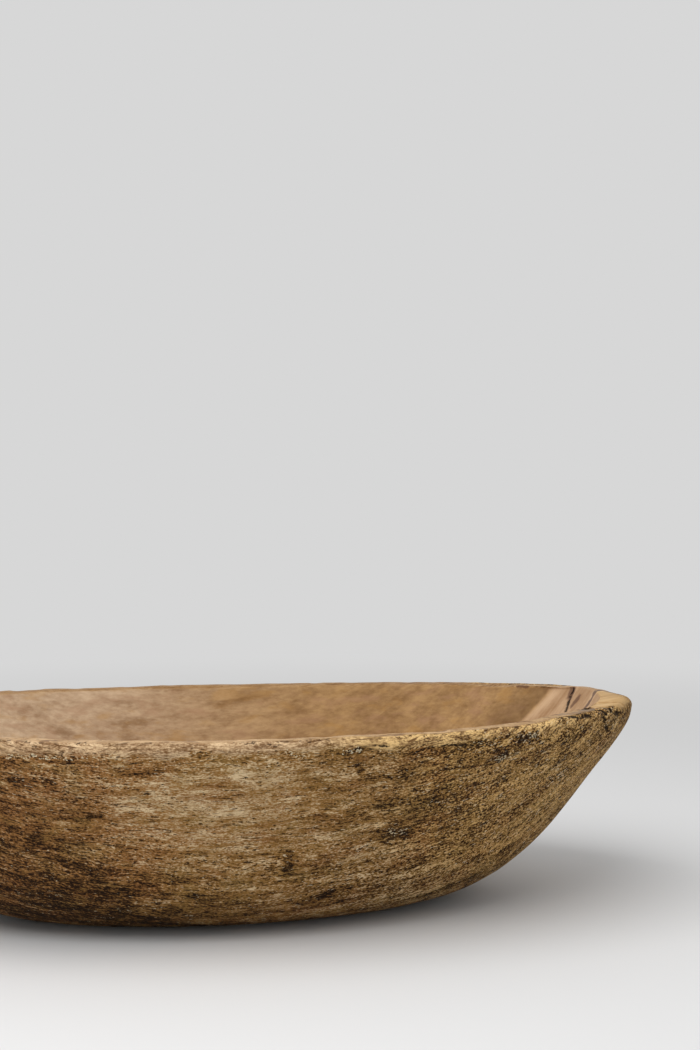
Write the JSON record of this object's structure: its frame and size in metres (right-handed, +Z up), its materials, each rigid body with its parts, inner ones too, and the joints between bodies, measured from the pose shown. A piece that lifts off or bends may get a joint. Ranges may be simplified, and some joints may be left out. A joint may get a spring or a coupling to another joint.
{
  "type": "dough bowl",
  "caption": "Oval dough bowl carved from solid weathered wood, with flared walls, a smooth scooped hollow, thick end lips to lift it by and a flat foot.",
  "frame": {"origin": "on the resting face of the foot, under the middle of the bowl", "axes": "+X along the bowl's length and the wood's grain, +Y across it, +Z up"},
  "size_m": [0.484, 0.264, 0.115],
  "materials": {
    "carved_wood": "weathered, dry, worn smooth inside"
  },
  "bodies": {
    "root": {"carved_bowl": "carved_wood"}
  },
  "joints": []
}
